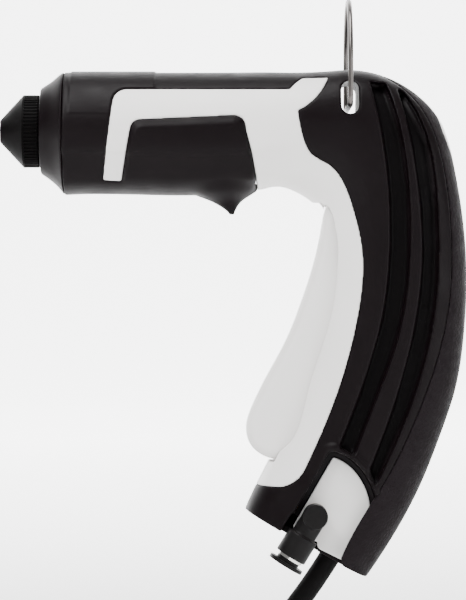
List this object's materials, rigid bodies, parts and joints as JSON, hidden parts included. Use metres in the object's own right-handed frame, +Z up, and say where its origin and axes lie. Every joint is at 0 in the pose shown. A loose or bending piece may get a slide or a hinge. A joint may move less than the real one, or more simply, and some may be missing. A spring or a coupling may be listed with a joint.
{
  "type": "glue gun",
  "caption": "Pistol-shaped hot-melt glue gun with a curved handle, long trigger, knurled nozzle cap, hanging ring, push-in air elbow and mains cord.",
  "frame": {"origin": "inside of the top of the suspension ring, where a hook carries the gun", "axes": "+Z up, the nozzle points to -X, the gun's left side faces -Y"},
  "size_m": [0.2013, 0.1498, 0.2875],
  "materials": {
    "housing_black": "satin, fine moulded texture",
    "cover_white": "satin, fine moulded texture",
    "grip_rubber": "leather-grained soft rubber",
    "inlet_white": "satin",
    "plate_white": "satin",
    "nose_black": "satin",
    "cap_black": "satin, knurled",
    "nozzle_steel": "turned",
    "bearing_steel": "polished",
    "spring_steel": "drawn wire",
    "chamber_aluminium": "turned",
    "heater_steel": "ground",
    "insulation": "woven glass fibre",
    "support_plastic": "moulded",
    "sleeve_grey": "silicone",
    "thermostat_black": "moulded phenolic",
    "fuse_steel": "plated",
    "rod_steel": "ground",
    "carriage_plastic": "moulded",
    "jaw_steel": "stamped",
    "trigger_white": "satin, fine moulded texture",
    "arm_steel": "stamped",
    "valve_brass": "turned",
    "plunger_steel": "ground",
    "hose_black": "smooth",
    "tube_clear": "smooth",
    "stud_brass": "turned",
    "elbow_black": "satin",
    "collet_nickel": "nickel plated",
    "release_black": "satin",
    "ring_steel": "drawn wire",
    "screw_zinc": "zinc plated",
    "gland_rubber": "smooth",
    "clamp_plastic": "moulded",
    "terminal_white": "moulded",
    "lead_brown": "smooth",
    "cord_rubber": "fine matt rubber",
    "tie_fabric": "woven",
    "plug_rubber": "moulded",
    "pin_nickel": "nickel plated"
  },
  "bodies": {
    "housing": {"left_housing": "housing_black", "right_housing": "housing_black", "left_cover": "cover_white", "right_cover": "cover_white", "back_grip": "grip_rubber", "inlet_ring": "inlet_white", "connector_plate": "plate_white", "barrel_nose": "nose_black", "nozzle": "nozzle_steel", "check_spring": "spring_steel", "melt_chamber": "chamber_aluminium", "heater_cartridges": "heater_steel", "insulation_sleeve": "insulation", "rear_support": "support_plastic", "inlet_sleeve": "sleeve_grey", "thermostat": "thermostat_black", "thermal_fuse": "fuse_steel", "guide_rods": "rod_steel", "carriage_spring": "spring_steel", "stick_guide": "carriage_plastic", "rod_bracket": "support_plastic", "trigger_pin": "rod_steel", "trigger_spring": "spring_steel", "spring_seat": "support_plastic", "valve_body": "valve_brass", "valve_spring": "spring_steel", "supply_hose": "hose_black", "air_tube": "tube_clear", "fitting_stud": "stud_brass", "fitting_nut": "stud_brass", "housing_screws": "screw_zinc", "cord_gland": "gland_rubber", "cord_clamp": "clamp_plastic", "terminal_block": "terminal_white", "lead_wires": "lead_brown", "cord_run": "cord_rubber", "cord_tail": "cord_rubber", "cord_coil": "cord_rubber", "coil_tie": "tie_fabric", "plug_body": "plug_rubber", "plug_pins": "pin_nickel"},
    "trigger_unit": {"trigger": "trigger_white", "trigger_arm": "arm_steel"},
    "feed": {"feed_carriage": "carriage_plastic", "grip_jaw": "jaw_steel"},
    "plunger": {"valve_plunger": "plunger_steel"},
    "ring": {"hang_ring": "ring_steel"},
    "cap": {"nozzle_cap": "cap_black"},
    "elbow": {"elbow_body": "elbow_black", "collet_sleeve": "collet_nickel"},
    "release": {"release_ring": "release_black"},
    "ball": {"check_ball": "bearing_steel"}
  },
  "joints": [
    {"name": "trigger_squeeze", "type": "hinge", "parent": "housing", "child": "trigger_unit", "pos_m": [-0.002, 0, -0.08], "axis": [0, -1, 0], "range_deg": [0, 10], "stiffness_Nm_per_rad": 1.2, "springref_deg": -6.88, "deforming": ["trigger_spring"]},
    {"name": "feed_slide", "type": "slide", "parent": "housing", "child": "feed", "axis": [-1, 0, 0], "range_m": [0, 0.0047], "deforming": ["carriage_spring"]},
    {"name": "valve_plunger_slide", "type": "slide", "parent": "housing", "child": "plunger", "axis": [1, 0, 0], "range_m": [0, 0.0031], "deforming": ["valve_spring"]},
    {"name": "ring_swing", "type": "hinge", "parent": "housing", "child": "ring", "pos_m": [0.0001, 0, -0.0414], "axis": [0, 1, 0], "range_deg": [-65, 100]},
    {"name": "nozzle_cap_turn", "type": "hinge", "parent": "housing", "child": "cap", "pos_m": [-0.13, 0, -0.0508], "axis": [1, 0, 0], "continuous": true},
    {"name": "elbow_swivel", "type": "hinge", "parent": "housing", "child": "elbow", "pos_m": [-0.0137, -0.0206, -0.2031], "axis": [0, 1, 0], "range_deg": [-5, 5]},
    {"name": "release_ring_press", "type": "slide", "parent": "elbow", "child": "release", "axis": [0.5262, 0, 0.8504], "range_m": [0, 0.0014], "stiffness_N_per_m": 1500},
    {"name": "check_ball_lift", "type": "slide", "parent": "housing", "child": "ball", "axis": [-1, 0, 0], "range_m": [0, 0.0009], "stiffness_N_per_m": 150, "deforming": ["check_spring"]}
  ],
  "couplings": [
    {"joint": "feed_slide", "follows": "trigger_squeeze", "m_per_rad": 0.0265},
    {"joint": "valve_plunger_slide", "follows": "trigger_squeeze", "m_per_rad": 0.0175}
  ]
}
